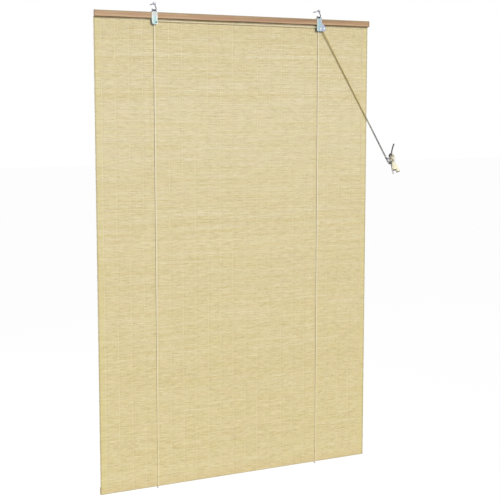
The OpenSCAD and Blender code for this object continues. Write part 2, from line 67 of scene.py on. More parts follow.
LEFT_BACK = [(-316, -9, -36), (-316, -9, -54), (-300, -9, -1584), (-300, -3, -1594), (-300, -3, -1599.6)]
RIGHT_BACK = [(284, -9, -36), (284, -9, -54), (300, -9, -1584), (300, -3, -1594), (300, -3, -1599.6)]
LOOP = [
    (-3, -1600), (-3, -1628), (-3.8, -1631), (-6, -1633.2), (-9.1, -1634.1),
    (-12.2, -1633.2), (-14.4, -1631), (-15.2, -1628), (-15.2, -1600),
]
LEFT_FRONT = [(-300, -15.2, -1599.6), (-300, -20, -73)]
RIGHT_FRONT = [(300, -15.2, -1599.6), (300, -17.6, -73)]
LEFT_HELD = [
    (-300, -20, -73), (-300, -20, -61), (-299.3, -20, -58.5), (-297.5, -20, -56.7),
    (-295, -20, -56), (-284, -20, -56), (296, -22.4, -56), (305, -22.4, -56),
    (307.5, -22.4, -56.7), (309.3, -22.4, -58.4), (314.43, -22.29, -67),
]
LEFT_FREE = [
    (314.43, -22.29, -67), (592.6, -16.4, -533.4), (596.2, -14.9, -535.6), (600, -13.8, -537.4),
    (604.3, -13.6, -538.5), (608.2, -15.1, -537.5), (609.8, -17.5, -534.3), (608.7, -19.5, -530.6),
    (605.9, -21.3, -527.8), (602.4, -21.9, -525.2), (599.4, -20.8, -522.1), (597.6, -19.8, -518.2),
    (596.7, -18.5, -514.1), (596.4, -16.6, -510.1), (597.3, -13.7, -506.9), (600.4, -11.4, -504.8),
    (604.7, -11.1, -504.8), (608, -12.9, -506.8), (609.3, -15.6, -510), (608.6, -18.3, -513.4),
    (606.7, -20.5, -516.7), (603.8, -22, -519.7), (600.4, -23.2, -522.4), (597.2, -22.9, -525.3),
    (594.9, -20.6, -528.2), (594.4, -17.1, -530.8), (595.9, -13.7, -533.1), (599.2, -11.4, -534.7),
    (603.5, -10.7, -535.2), (607.7, -11.9, -534.3), (610.7, -14.5, -532.5), (612.1, -18, -530.2),
    (611.6, -21.7, -527.9), (609.2, -24.5, -525.5), (605.6, -25.3, -523.2), (602, -24.9, -520.7),
    (598.3, -23.8, -518.6), (595.3, -21.2, -516.5), (594.2, -17.6, -514.3), (595.3, -13.9, -512.3),
    (598.1, -11, -510.6), (602.1, -9.3, -509.7), (606.5, -9.5, -509.7), (610, -11.9, -510.4),
    (611.6, -15.8, -511.6), (610.6, -20, -512.5), (608.7, -24, -513.4), (606.8, -27.6, -514.9),
    (604.9, -30.5, -517.6), (603.3, -31.6, -521.5), (602.3, -30.5, -525.7), (602.4, -28.9, -529.8),
    (602.7, -29, -534), (604, -37.1, -554.1),
]
RIGHT_HELD = [
    (300, -17.6, -73), (300, -17.6, -61), (300.7, -17.6, -58.5), (302.5, -17.6, -56.7),
    (305, -17.6, -56), (307.5, -17.6, -56.7), (309.3, -17.6, -58.4), (314.37, -17.54, -67),
]
RIGHT_FREE = [
    (314.37, -17.54, -67), (590.6, -14.4, -535.2), (593.3, -13.6, -538.6), (596.7, -13.1, -541.2),
    (601, -13.3, -542), (605.1, -14.5, -541.3), (608.1, -16.8, -539.2), (609.7, -19.4, -536),
    (609.8, -21.4, -532.2), (608.7, -22.4, -528), (607.2, -22.8, -524), (605.2, -23.9, -520.2),
    (602.1, -24.3, -517.1), (598.9, -23.3, -514.4), (596.4, -21.3, -511.4), (595.4, -18.5, -508.2),
    (596.7, -15.6, -505.3), (600.1, -13.6, -503.5), (604.4, -13.2, -503.4), (608.3, -14.6, -504.7),
    (611, -17.1, -507), (612.3, -20.2, -509.8), (611.8, -23.2, -512.9), (609.6, -25.4, -516),
    (606.6, -26.8, -518.9), (603.5, -27.2, -521.9), (600.5, -26.4, -525), (598.1, -24.7, -528.2),
    (596.2, -22.4, -531.4), (595.4, -19.6, -534.7), (596, -16.4, -537.6), (598.5, -13.2, -539.2),
    (602.3, -11.3, -539.2), (606.5, -11.4, -538), (609.9, -13.3, -536.1), (612.1, -16.4, -533.9),
    (612.4, -20.2, -531.7), (611.3, -23.7, -529.5), (609.1, -26.7, -527), (606.3, -28.7, -524.4),
    (603.1, -29.4, -521.5), (600, -28.1, -518.7), (597.3, -25.6, -516.4), (595.3, -22.4, -514.2),
    (594.1, -18.7, -512.2), (594.4, -14.8, -510.2), (596.7, -11.6, -508.4), (600.4, -9.6, -507.3),
    (604.7, -9.2, -507), (608.8, -10.6, -507.4), (611.9, -13.4, -508.5), (613.8, -17, -510.3),
    (614.5, -20.5, -512.8), (614.6, -23.3, -516.1), (614.5, -25.3, -520), (614.2, -26.4, -524.2),
    (613.9, -26.6, -528.6), (613.6, -26.3, -533), (613.6, -25.8, -537.3), (614.2, -26.8, -541.5),
    (618.9, -34.6, -561.2),
]


# Mesh helpers

SAME_POINT = 1e-7
TINY_R = 1e-5


def add_mesh(name, verts, faces, smooth=True):
    mesh = bpy.data.meshes.new(name)
    mesh.from_pydata([tuple(vert) for vert in verts], [], [tuple(face) for face in faces])
    mesh.polygons.foreach_set("use_smooth", [smooth] * len(mesh.polygons))
    mesh.update()
    obj = bpy.data.objects.new(name, mesh)
    bpy.context.scene.collection.objects.link(obj)
    return obj


def angles(sides):
    return np.linspace(0, 2 * np.pi, sides, endpoint=False)


def tube_faces(rings, sides, base=0):
    """Faces of a closed tube of rings with sides points each, numbered from base."""
    row = np.arange(rings - 1)[:, None] * sides
    column = np.arange(sides)[None, :]
    beside = (column + 1) % sides
    corners = [row + column, row + beside, row + sides + beside, row + sides + column]
    faces = (np.stack(corners, -1).reshape(-1, 4) + base).tolist()
    last_ring = base + (rings - 1) * sides
    faces.append([base + k for k in reversed(range(sides))])
    faces.append([last_ring + k for k in range(sides)])
    return faces


def unit(vector):
    return vector / np.linalg.norm(vector)


def smooth_path(points, step, reach):
    """Rounds the corners of a polyline and samples it about every step. reach caps a corner's length."""
    corners = [np.array(point, float) for point in points]
    samples = [corners[0]]

    def straight(end):
        start = samples[-1]
        count = max(1, int(round(np.linalg.norm(end - start) / step)))
        samples.extend(start + (end - start) * (k / count) for k in range(1, count + 1))

    for before, corner, after in zip(corners, corners[1:], corners[2:]):
        cut = min(np.linalg.norm(corner - before) / 2, np.linalg.norm(after - corner) / 2, reach)
        start = corner + unit(before - corner) * cut
        end = corner + unit(after - corner) * cut
        if np.linalg.norm(start - samples[-1]) > SAME_POINT:
            straight(start)
        count = max(2, int(round(2 * cut / step)))
        for k in range(1, count + 1):
            share = k / count
            samples.append((1 - share) ** 2 * start + 2 * share * (1 - share) * corner + share * share * end)
    straight(corners[-1])
    return np.array(samples)


def side_vectors(path):
    """Two vectors across a path at each of its points, carried on without twist."""
    ahead = np.gradient(path, axis=0)
    ahead /= np.linalg.norm(ahead, axis=1)[:, None]
    first = np.zeros_like(path)
    aside = np.array((1.0, 0, 0)) if abs(ahead[0][0]) < 0.9 else np.array((0, 1.0, 0))
    first[0] = unit(np.cross(ahead[0], aside))
    for i in range(1, len(path)):
        first[i] = unit(first[i - 1] - ahead[i] * np.dot(first[i - 1], ahead[i]))
    return first, np.cross(ahead, first)


def sweep(path, radius, sides):
    """Points of a tube along a path. radius is a number, or an array of rings by sides."""
    first, second = side_vectors(path)
    angle = angles(sides)[None, :, None]
    spoke = np.cos(angle) * first[:, None, :] + np.sin(angle) * second[:, None, :]
    radii = np.broadcast_to(np.asarray(radius, float), (len(path), sides))
    return (path[:, None, :] + radii[:, :, None] * spoke).reshape(-1, 3)


CORD_STEP = 1.1 * MM
CORD_BEND = 12 * MM
CORD_SIDES = 9
STRANDS = 3
STRAND_PITCH = 8.0 * MM
GROOVE = 0.20


def path_steps(path):
    return np.linalg.norm(np.diff(path, axis=0), axis=1)


def twisted_cord(name, route):
    """A laid cord along a route in millimetres, and the points that it follows."""
    path = smooth_path([np.array(point) * MM for point in route], CORD_STEP, CORD_BEND)
    along = np.concatenate([[0], np.cumsum(path_steps(path))])
    turn = angles(CORD_SIDES)[None, :] - 2 * np.pi * along[:, None] / STRAND_PITCH
    strand = np.abs(np.cos(STRANDS / 2 * turn))
    radius = CORD_R * (1 - GROOVE + GROOVE * strand ** 0.8)
    cord = add_mesh(name, sweep(path, radius, CORD_SIDES), tube_faces(len(path), CORD_SIDES))
    return cord, path


def lathe(name, profile, sides, origin, up):
    """A bored piece turned about up.

    profile is its closed outline of (radius, height) in metres, from the top of the bore out and down
    round the outside, with heights from the origin along up.
    """
    first = unit(np.cross(up, (0.0, 1.0, 0.0)))
    second = np.cross(up, first)
    angle = angles(sides)[:, None]
    spoke = np.cos(angle) * first + np.sin(angle) * second
    verts = np.concatenate([np.array(origin) + height * up + radius * spoke for radius, height in profile])
    row = np.arange(len(profile))[:, None] * sides
    below = np.roll(row, -1, axis=0)
    column = np.arange(sides)[None, :]
    beside = (column + 1) % sides
    faces = np.stack([row + column, below + column, below + beside, row + beside], -1)
    return add_mesh(name, verts, faces.reshape(-1, 4).tolist())


# Material helpers

# Places of the colour sockets of Blender's Mix node
MIX_FIRST = 6
MIX_SECOND = 7
MIX_RESULT = 2


class Shader:
    """A material with a principled surface and short calls for its nodes."""

    def __init__(self, name, **sockets):
        self.mat = bpy.data.materials.new(name)
        self.mat.use_nodes = True
        self.tree = self.mat.node_tree
        self.bsdf = self.tree.nodes["Principled BSDF"]
        for key, value in sockets.items():
            self.bsdf.inputs[key.replace("_", " ")].default_value = value

    def node(self, kind, inputs=None, **props):
        node = self.tree.nodes.new(kind)
        for key, value in props.items():
            setattr(node, key, value)
        for key, value in (inputs or {}).items():
            self.put(value, node.inputs[key])
        return node

    def put(self, value, socket):
        if isinstance(value, bpy.types.NodeSocket):
            self.tree.links.new(value, socket)
        else:
            socket.default_value = value

    def scaled(self, vector, scale):
        return self.node("ShaderNodeMapping", {"Vector": vector, "Scale": scale}).outputs["Vector"]

    def coords(self, scale=(1, 1, 1)):
        """The object's own coordinates in metres, times scale."""
        return self.scaled(self.node("ShaderNodeTexCoord").outputs["Object"], scale)

    def axes(self):
        """The x, y and z of the object's own coordinates."""
        return tuple(self.node("ShaderNodeSeparateXYZ", {"Vector": self.coords()}).outputs)

    def noise(self, vector, detail=3.0, rough=0.55, distortion=0.0):
        inputs = {"Vector": vector, "Scale": 1.0, "Detail": detail, "Roughness": rough}
        return self.node("ShaderNodeTexNoise", {**inputs, "Distortion": distortion}).outputs["Fac"]

    def ramp(self, value, stops):
        node = self.node("ShaderNodeValToRGB", {"Fac": value})
        elements = node.color_ramp.elements
        while len(elements) < len(stops):
            elements.new(0.5)
        for element, (position, colour) in zip(elements, stops):
            element.position = position
            element.color = (*colour, 1)
        return node.outputs["Color"]

    def between(self, value, low, high, start=0.0, end=1.0):
        """Goes from low to high while value goes from start to end."""
        inputs = {"Value": value, "From Min": start, "From Max": end, "To Min": low, "To Max": high}
        return self.node("ShaderNodeMapRange", inputs).outputs["Result"]

    def rise(self, value, start, end, share=1.0):
        """Nothing below start, and share above end."""
        return self.between(value, 0.0, share, start, end)

    def fall(self, value, start, end, share=1.0):
        """share below start, and nothing above end."""
        return self.between(value, share, 0.0, start, end)

    def mix(self, share, first, second):
        node = self.node("ShaderNodeMix", data_type="RGBA")
        self.put(share, node.inputs["Factor"])
        for value, place in ((first, MIX_FIRST), (second, MIX_SECOND)):
            self.put((*value, 1) if isinstance(value, tuple) else value, node.inputs[place])
        return node.outputs[MIX_RESULT]

    def math(self, operation, first, second=0.0):
        node = self.node("ShaderNodeMath", operation=operation)
        self.put(first, node.inputs[0])
        self.put(second, node.inputs[1])
        return node.outputs[0]

    def both(self, first, second):
        return self.math("MULTIPLY", first, second)

    def either(self, first, second):
        return self.math("MAXIMUM", first, second)

    def distance(self, value, place):
        return self.math("ABSOLUTE", self.math("SUBTRACT", value, place))

    def base(self, colour):
        self.put(colour, self.bsdf.inputs["Base Color"])

    def rough(self, value):
        self.put(value, self.bsdf.inputs["Roughness"])

    def bump(self, height, strength, distance):
        node = self.node("ShaderNodeBump", {"Height": height, "Strength": strength, "Distance": distance})
        self.put(node.outputs["Normal"], self.bsdf.inputs["Normal"])
        return self


def srgb(red, green, blue):
    """Linear colour of an 8-bit display colour."""
    shares = [part / 255 for part in (red, green, blue)]
    return tuple(((share + 0.055) / 1.055) ** 2.4 if share > 10 / 255 else share / 12.92 for share in shares)


# The warp threads, which the reeds' material and the mat share

WARP_COUNT = 22
WARP_FIRST = -0.478
WARP_SPAN = 0.9558
# the dark lines painted beside the threads have their pitch, to a tenth of a millimetre
DARK_LINE_PITCH = 45.5 * MM
DARK_LINE_LEAD = 4.4 * MM

# Places in metres where tones along the threads and cords start and are full

THREAD_AGED_Z = (-0.5, -1.2)
DROP_YELLOW_Z = (-0.95, -1.45)
# the pull cords' painted shade goes from olive to nearly black between these
PULL_SHADE_X = (0.47, 0.53)

# Materials


def bamboo_material():
    look = Shader("bamboo_reed", Specular_IOR_Level=0.35)
    tint = look.node("ShaderNodeAttribute", attribute_name="tint").outputs["Fac"]
    x, _, z = look.axes()
    from_middle = look.math("ABSOLUTE", x)
    # each reed draws its own streaks, a few centimetres long, with finer fibres in them
    own = look.node("ShaderNodeCombineXYZ", {"X": x, "Y": look.math("MULTIPLY", tint, 9.0), "Z": z})
    streak = look.noise(look.scaled(own.outputs[0], (42, 40, 560)), 2.0)
    fibre = look.noise(look.coords((40, 300, 2600)), 2.0, 0.5)
    cloud = look.noise(look.coords((16, 5, 26)))
    tones = [(0.0, srgb(220, 205, 154)), (0.4, srgb(223, 209, 160)), (1.0, srgb(227, 214, 167))]
    colour = look.ramp(tint, tones)
    colour = look.mix(look.rise(streak, 0.50, 0.74, 0.74), colour, srgb(192, 170, 112))
    colour = look.mix(look.fall(streak, 0.26, 0.46, 0.78), colour, srgb(240, 230, 196))
    colour = look.mix(look.rise(fibre, 0.45, 0.75, 0.22), colour, srgb(190, 170, 118))
    colour = look.mix(look.rise(cloud, 0.50, 0.70, 0.20), colour, srgb(230, 206, 170))
    colour = look.mix(look.fall(cloud, 0.30, 0.46, 0.15), colour, srgb(216, 210, 150))
    # node rings: short dark marks at an irregular pitch along each reed
    place = look.math("ADD", look.math("MULTIPLY", x, 2.9), look.math("MULTIPLY", tint, 37.0))
    ring = look.fall(look.distance(look.math("FRACT", place), 0.5), 0.0, 0.005, 0.5)
    colour = look.mix(ring, colour, srgb(150, 122, 72))
    # beside every warp thread the reeds are painted a little darker
    past_first = look.math("ADD", x, DARK_LINE_PITCH - WARP_FIRST - DARK_LINE_LEAD)
    past_thread = look.math("FRACT", look.math("MULTIPLY", past_first, 1 / DARK_LINE_PITCH))
    colour = look.mix(look.fall(past_thread, 0.0, 0.075, 0.14), colour, srgb(176, 154, 98))
    # the selvages and the last reeds in front of the batten have aged to a warmer tone
    selvage = look.rise(from_middle, MAT_SIDE - 20 * MM, MAT_SIDE - 18.5 * MM, 0.4)
    colour = look.mix(selvage, colour, srgb(223, 211, 146))
    foot = look.fall(z, MAT_BOTTOM + 20 * MM, MAT_BOTTOM + 30 * MM, 0.22)
    colour = look.mix(foot, colour, srgb(228, 202, 148))
    # painted shade: the cut ends and the lowest reed are painted a darker grey
    cut_ends = look.rise(from_middle, MAT_SIDE - 6 * MM, MAT_SIDE - 3 * MM, 0.6)
    lowest = look.fall(z, MAT_BOTTOM + 2.5 * MM, MAT_BOTTOM + 4.5 * MM, 0.5)
    colour = look.mix(look.either(cut_ends, lowest), colour, srgb(176, 162, 122))
    look.base(colour)
    look.rough(look.between(fibre, 0.45, 0.65))
    return look.bump(fibre, 0.2, 0.4 * MM).mat


def thread_material():
    look = Shader("warp_cotton", Specular_IOR_Level=0.2, Sheen_Weight=0.15)
    ply = look.noise(look.coords((900, 900, 700)), 2.0)
    cloud = look.noise(look.coords((30, 30, 8)), 2.0)
    x, _, z = look.axes()
    colour = look.mix(look.rise(ply, 0.35, 0.75, 0.5), srgb(244, 235, 200), srgb(222, 208, 162))
    colour = look.mix(look.rise(cloud, 0.0, 1.0, 0.25), colour, srgb(232, 220, 178))
    # the lower half has aged
    start, full = THREAD_AGED_Z
    colour = look.mix(look.fall(z, full, start, 0.22), colour, srgb(219, 204, 157))
    # the last thread on the right is pinker than the rest
    last = look.math("GREATER_THAN", x, MAT_SIDE - 30 * MM)
    colour = look.mix(look.both(last, 0.7), colour, srgb(238, 208, 180))
    look.base(colour)
    look.rough(look.between(ply, 0.75, 0.9))
    return look.bump(ply, 0.4, 0.3 * MM).mat


def drop_tones(look, colour, z):
    """The run under the rail is yellower, with painted shade; the lower drops are yellowed; loop bottoms are
    dark.
    """
    # under the rail: partly the cord's own yellower tone, partly painted shade
    colour = look.mix(look.rise(z, DROP_TOP + 1 * MM, DROP_TOP + 4 * MM, 0.6), colour, srgb(228, 208, 150))
    start, full = DROP_YELLOW_Z
    colour = look.mix(look.fall(z, full, start, 0.8), colour, srgb(250, 238, 194))
    # the bottoms of the loops, below the mat, are painted dark
    return look.mix(look.fall(z, MAT_BOTTOM - 4 * MM, MAT_BOTTOM - 0.5 * MM, 0.85), colour, srgb(92, 84, 58))


def pull_painted_shade(look, colour, cloud, place):
    """Painted shade: the stretch up to the cleat darkens, more so lower down, and so do the turns on the
    cleat.
    """
    x, y, z = place
    # painted shade on the inner turns on the cleat and on the root of the tails
    inner = look.both(look.rise(y, -22.5 * MM, -20 * MM), look.fall(x, CLEAT_X, CLEAT_X + 5.5 * MM))
    root = look.both(
        look.rise(z, CLEAT_Z - 14 * MM, CLEAT_Z - 11 * MM, 0.8), look.fall(y, -28.5 * MM, -27.5 * MM)
    )
    root = look.both(root, look.fall(z, CLEAT_Z - 3 * MM, CLEAT_Z - 0.5 * MM))
    colour = look.mix(look.either(inner, root), colour, srgb(104, 98, 48))
    # painted shade on the taut stretch, and on the turn at its lower end
    taut = look.fall(x, CLEAT_X - 9.5 * MM, CLEAT_X - 4 * MM)
    turn = look.both(
        look.fall(x, CLEAT_X - 3 * MM, CLEAT_X + 2 * MM), look.fall(z, CLEAT_Z - 17 * MM, CLEAT_Z - 14.5 * MM)
    )
    shade_share = look.both(look.either(taut, turn), look.between(cloud, 0.88, 1.0, 0.3, 0.7))
    tone = look.mix(look.rise(x, *PULL_SHADE_X), srgb(208, 188, 122), srgb(30, 29, 18))
    return look.mix(shade_share, colour, tone)


def cord_material(name, light, dark, aged, pull_shaded):
    """Laid cord. The flag after the colours says that it is a pull cord, which gets painted shade."""
    look = Shader(name, Specular_IOR_Level=0.25, Sheen_Weight=0.2)
    fibre = look.noise(look.coords((1100, 1100, 1100)))
    cloud = look.noise(look.coords((40, 40, 14)))
    place = look.axes()
    colour = look.mix(look.rise(fibre, 0.35, 0.75, 0.5), light, dark)
    colour = look.mix(look.rise(cloud, 0.4, 0.7, 0.3), colour, aged)
    if pull_shaded:
        colour = pull_painted_shade(look, colour, cloud, place)
    else:
        colour = drop_tones(look, colour, place[2])
    look.base(colour)
    look.rough(look.between(fibre, 0.7, 0.9))
    return look.bump(fibre, 0.35, 0.3 * MM).mat


def wood_material(name, light, mid, dark, red, bands=(), ends=None):
    """Planed lath.

    bands are (height, reach, share, colour) of streaks along the whole length, some of them painted highlight
    and shade, and ends is (distance from the middle, colour) of painted shade at both ends.
    """
    look = Shader(name, Specular_IOR_Level=0.4)
    grain = look.noise(look.coords((3.2, 60, 60)), 5.0, 0.6, 0.8)
    pores = look.noise(look.coords((26, 900, 900)), 3.0, 0.6)
    cloud = look.noise(look.coords((7, 14, 14)), 3.0, 0.5)
    x, _, z = look.axes()
    colour = look.ramp(grain, [(0.28, dark), (0.45, mid), (0.60, light), (0.76, mid)])
    colour = look.mix(look.rise(cloud, 0.42, 0.66, 0.6), colour, red)
    colour = look.mix(look.rise(pores, 0.52, 0.8, 0.5), colour, dark)
    wander = look.math("ADD", z, look.math("MULTIPLY", look.math("SUBTRACT", cloud, 0.5), 6 * MM))
    # on the rail some of these bands are painted highlight and painted shade
    for height, reach, share, tone in bands:
        colour = look.mix(look.fall(look.distance(wander, height), 0.0, reach, share), colour, tone)
    # painted shade at both ends
    if ends:
        away, tone = ends
        colour = look.mix(look.rise(look.math("ABSOLUTE", x), away, away + 1.2 * MM, 0.85), colour, tone)
    look.base(colour)
    look.rough(look.between(pores, 0.42, 0.62))
    return look.bump(look.math("ADD", look.math("MULTIPLY", grain, 0.5), pores), 0.25, 0.4 * MM).mat


def plated_material():
    """Zinc plate: pale legs, a teal channel and a lilac lock that are painted reflections, and a bail painted
    dark as shade.
    """
    look = Shader("bright_zinc", Metallic=0.8)
    cells = {"Vector": look.coords((240, 240, 240)), "Scale": 1.0}
    spangle = look.node("ShaderNodeTexVoronoi", cells, feature="SMOOTH_F1").outputs["Distance"]
    hue = look.noise(look.coords((75, 75, 60)), 2.0, 0.5)
    x, _, z = look.axes()
    outward = look.math("SUBTRACT", look.math("ABSOLUTE", x), HOOK_X)
    right = look.math("GREATER_THAN", x, 0.0)
    left = look.math("SUBTRACT", 1.0, right)
    tones = [
        (0.30, srgb(146, 152, 147)), (0.44, srgb(128, 144, 140)),
        (0.56, srgb(155, 159, 153)), (0.70, srgb(136, 144, 150)),
    ]
    colour = look.ramp(hue, tones)
    # painted reflection: the channel is tinted teal, bluer on the right
    teal = look.mix(right, srgb(112, 143, 141), srgb(113, 143, 156))
    channel = look.fall(look.math("ABSOLUTE", outward), 3 * MM, 4.6 * MM, 0.9)
    colour = look.mix(channel, colour, teal)
    # the upper third of the left bracket is plainer
    upper = look.rise(z, RAIL_TOP - 16 * MM, RAIL_TOP - 9 * MM, 0.75)
    colour = look.mix(look.both(left, upper), colour, srgb(143, 140, 138))
    # painted reflection: the lock is tinted lilac
    lock = look.both(right, look.rise(outward, 4 * MM, 10 * MM, 0.75))
    colour = look.mix(lock, colour, srgb(121, 126, 150))
    # painted shade: the bail over the rail is painted dark
    bail = look.rise(z, RAIL_TOP - 0.5 * MM, RAIL_TOP + 1.5 * MM, 0.9)
    colour = look.mix(bail, colour, srgb(58, 68, 72))
    colour = look.mix(look.rise(spangle, 0.0, 1.0, 0.2), colour, srgb(190, 194, 196))
    look.base(colour)
    look.rough(look.between(spangle, 0.42, 0.58))
    return look.bump(spangle, 0.15, 0.5 * MM).mat


def metal_material(name, colour, wear_and_highlight, smoothest, roughest, metallic=1.0):
    look = Shader(name, Metallic=metallic)
    scuff = look.noise(look.coords((420, 420, 420)), 4.0, 0.65)
    fine = look.noise(look.coords((1680, 1680, 1680)), 2.0)
    look.base(look.mix(look.rise(scuff, 0.4, 0.7, 0.7), colour, wear_and_highlight))
    look.rough(look.between(scuff, smoothest, roughest, 0.3, 0.7))
    return look.bump(fine, 0.12, 0.3 * MM).mat


def painted_material():
    """Dark paint, with a painted highlight of pale lilac-grey on the lower horn of the cleat."""
    look = Shader("dark_paint", Specular_IOR_Level=0.5, Coat_Weight=0.15, Coat_Roughness=0.3)
    peel = look.noise(look.coords((500, 500, 500)))
    blotch = look.noise(look.coords((90, 90, 60)), 4.0, 0.6)
    _, _, z = look.axes()
    # painted highlight: the lower horn is painted pale lilac-grey in blotches
    lower = look.fall(z, CLEAT_Z - 26 * MM, CLEAT_Z - 16 * MM)
    wear_and_highlight = look.both(lower, look.between(blotch, 0.75, 1.0, 0.3, 0.6))
    colour = look.mix(look.rise(blotch, 0.45, 0.75, 0.6), srgb(92, 88, 98), srgb(120, 114, 128))
    look.base(look.mix(wear_and_highlight, colour, srgb(214, 206, 220)))
    look.rough(look.between(peel, 0.36, 0.52))
    return look.bump(peel, 0.15, 0.4 * MM).mat


def tassel_material():
    look = Shader("cream_bead", Specular_IOR_Level=0.5, Coat_Weight=0.25, Coat_Roughness=0.2)
    swirl = look.noise(look.coords((160, 160, 50)), 3.0, 0.5, 1.2)
    fine = look.noise(look.coords((700, 700, 260)), 2.0)
    tones = [(0.3, srgb(244, 236, 192)), (0.5, srgb(252, 247, 218)), (0.75, srgb(248, 240, 204))]
    look.base(look.ramp(swirl, tones))
    look.rough(look.between(fine, 0.28, 0.42))
    return look.bump(fine, 0.08, 0.3 * MM).mat


BAMBOO = bamboo_material()
THREAD = thread_material()
CORD = cord_material(
    "laid_cord", srgb(255, 252, 232), srgb(242, 230, 192), srgb(250, 240, 206), pull_shaded=False
)
# the pull cords get painted shade on their stretch to the cleat and on their turns on it
PULL = cord_material(
    "pull_cord_painted_shade", srgb(250, 242, 212), srgb(222, 206, 158), srgb(238, 222, 178), pull_shaded=True
)
RAIL_WOOD = wood_material(
    "rail_wood", srgb(187, 155, 117), srgb(170, 138, 100), srgb(130, 95, 62), srgb(174, 126, 93),
    bands=[
        (RAIL_TOP - 1 * MM, 6.5 * MM, 0.75, srgb(155, 138, 102)),
        (RAIL_TOP - 10 * MM, 3.5 * MM, 0.45, srgb(168, 118, 90)),
        # painted highlight: a pale line along the lower front edge
        (RAIL_TOP - 16.5 * MM, 3 * MM, 0.65, srgb(199, 169, 132)),
        # painted shade: a dark line along the bottom edge
        (RAIL_TOP - 20.7 * MM, 2.1 * MM, 0.9, srgb(92, 62, 34)),
    ],
    # painted shade: the ends are painted dark
    ends=(MAT_SIDE - 3 * MM, srgb(112, 74, 52)),
)
BATTEN_WOOD = wood_material(
    "batten_wood", srgb(228, 208, 164), srgb(216, 192, 146), srgb(188, 160, 112), srgb(216, 184, 140)
)
ZINC = plated_material()
# the same rivet steel twice: painted shade on the left axle, painted highlight on the right axle and the cam
# pin
SHADED_RIVET = metal_material("rivet_steel", srgb(72, 88, 94), srgb(48, 58, 62), 0.35, 0.5)
HIGHLIT_RIVET = metal_material("rivet_steel_painted_highlight", srgb(226, 234, 244), srgb(196, 206, 220), 0.2, 0.35)
PULLEY = metal_material("turned_steel", srgb(176, 178, 182), srgb(128, 130, 134), 0.3, 0.5)
CAM = metal_material("hard_steel", srgb(132, 132, 138), srgb(92, 92, 98), 0.35, 0.55)
WIRE = metal_material("hook_wire", srgb(70, 80, 84), srgb(46, 54, 58), 0.4, 0.55, metallic=0.7)
SCREW = metal_material("screw_steel", srgb(150, 148, 156), srgb(104, 102, 112), 0.3, 0.5)
STAPLE = metal_material("staple_wire", srgb(200, 202, 206), srgb(150, 152, 156), 0.25, 0.4)
PAINT = painted_material()
CREAM = tassel_material()
# painted shade: a dark material for the inside of the tassels' cups
CUP_SHADE = wood_material("tassel_cup_painted_shade", srgb(64, 56, 32), srgb(54, 46, 24), srgb(36, 30, 14), srgb(60, 48, 28))


def paint(obj, material):
    slots = obj.data.materials
    if len(slots):
        for i in range(len(slots)):
            slots[i] = material
    else:
        slots.append(material)


def dress(obj, material, body="base", replaces=()):
    """Material, body and the CAD nodes that a new piece stands for."""
    paint(obj, material)
    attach(obj, body)
    if replaces:
        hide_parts(*replaces)


# The reed mat

REED_SIDES = 8
REED_SPANS = 18
REED_HALF_Y = 1.5 * MM
REED_HEIGHT_MM = (2.5, 3.9)
RAGGED_END_MM = (0.0, 0.9)
# the reeds' waves die out this close to the mat's top and bottom
WAVE_FADE = 10 * MM
WARP_SIDES = 4
WARP_HALF_X = 0.80 * MM
WARP_HALF_Y = 0.42 * MM
WARP_DIP = 0.62 * MM
WARP_LEAN = 0.28 * MM
# how far the front threads stand proud of the reeds
WARP_PROUD = 0.12 * MM
# how far the back threads are sunk, because the batten lies flat against them
WARP_SUNK = 0.04 * MM


def ripple(place, rate):
    return np.sin(rate * place + rng.uniform(0, 6))


def mat_piece():
    """All reeds of the mat in one mesh, and the heights of the grooves between them."""
    drop = MAT_TOP - MAT_BOTTOM
    heights = []
    while sum(heights) < drop:
        heights.append(rng.uniform(*REED_HEIGHT_MM) * MM)
    heights = np.array(heights) * (drop / sum(heights))
    grooves = MAT_BOTTOM + np.concatenate([[0], np.cumsum(heights)])
    # a ring close to each end keeps the normals of the end face off the rest of the reed
    along = np.concatenate([[-1.0, -0.9985], np.linspace(-0.99, 0.99, REED_SPANS - 3), [0.9985, 1.0]])
    angle = angles(REED_SIDES) + np.pi / REED_SIDES
    points = len(along) * REED_SIDES
    verts = []
    faces = []
    tints = []
    mat_y = (MAT_FRONT + MAT_BACK) / 2
    # only the first two of these six are used, and the rest keep the later draws as they are
    phases = rng.uniform(0, 2 * np.pi, 6)
    for i, height in enumerate(heights):
        reed_z = (grooves[i] + grooves[i + 1]) / 2
        ends = MAT_SIDE - rng.uniform(*RAGGED_END_MM, 2) * MM
        wave = 0.16 * MM * np.sin(5 * along + phases[0] + reed_z * 9)
        wave = wave + 0.12 * MM * np.sin(11 * along + phases[1] + reed_z * 17)
        wave = wave + rng.normal(0, 0.05 * MM, len(along))
        fade = min(1.0, (reed_z - MAT_BOTTOM) / WAVE_FADE, (MAT_TOP - reed_z) / WAVE_FADE)
        half_z = height / 2 * rng.uniform(0.93, 1.02) * (1 + 0.05 * ripple(along, 7))
        half_y = REED_HALF_Y * rng.uniform(0.86, 1.0) * (1 + 0.04 * ripple(along, 9))
        middle_y = mat_y + rng.uniform(-0.10, 0.10) * MM + 0.08 * MM * ripple(along, 6)
        ring = np.zeros((len(along), REED_SIDES, 3))
        ring[:, :, 0] = np.where(along < 0, along * ends[0], along * ends[1])[:, None]
        ring[:, :, 1] = middle_y[:, None] + half_y[:, None] * np.cos(angle)[None, :]
        ring[:, :, 2] = (reed_z + wave * fade)[:, None] + half_z[:, None] * np.sin(angle)[None, :]
        ring[:, :, 1] = np.clip(ring[:, :, 1], MAT_FRONT, MAT_BACK)
        faces.extend(tube_faces(len(along), REED_SIDES, i * points))
        verts.append(ring.reshape(-1, 3))
        tints.append(np.full(points, np.clip(rng.normal(0.55, 0.22), 0, 1)))
    mat = add_mesh("bamboo_reeds", np.concatenate(verts), faces)
    tint = mat.data.attributes.new("tint", "FLOAT", "POINT")
    tint.data.foreach_set("value", np.concatenate(tints).astype(np.float32))
    return mat, grooves


